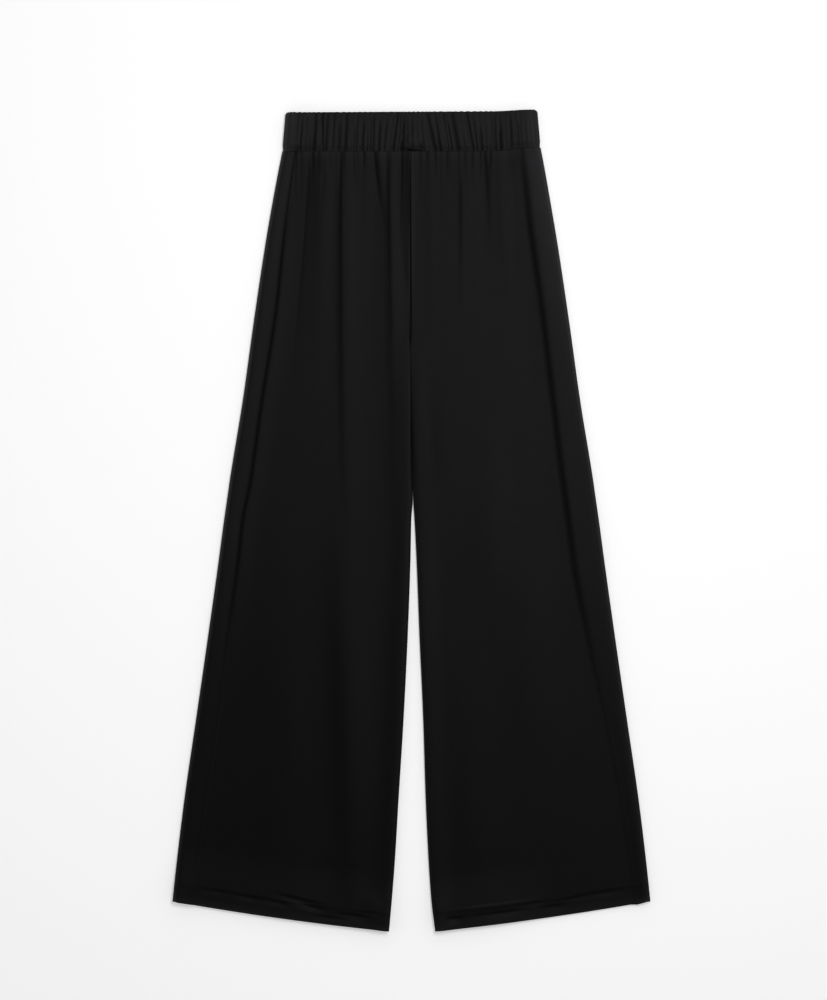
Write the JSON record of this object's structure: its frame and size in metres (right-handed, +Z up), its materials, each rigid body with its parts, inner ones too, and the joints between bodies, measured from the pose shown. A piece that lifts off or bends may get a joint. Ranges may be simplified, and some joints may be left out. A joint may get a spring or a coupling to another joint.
{
  "type": "cropped trousers",
  "caption": "Wide-leg cropped trousers with a gathered elastic waistband, laid flat with the front up.",
  "frame": {"origin": "on the surface that the trousers lie on, under the middle of their outline", "axes": "+X to the wearer's left, +Y from the hems to the waist, +Z up from the surface, out of the front"},
  "size_m": [0.5732, 0.984, 0.0113],
  "materials": {
    "leg_jersey": "fine black viscose jersey, soft and matt",
    "waistband_jersey": "fine black viscose jersey, gathered over elastic"
  },
  "bodies": {
    "root": {"front_left": "leg_jersey", "front_right": "leg_jersey", "back_left": "leg_jersey", "back_right": "leg_jersey", "waistband_front": "waistband_jersey", "waistband_back": "waistband_jersey"}
  },
  "joints": []
}
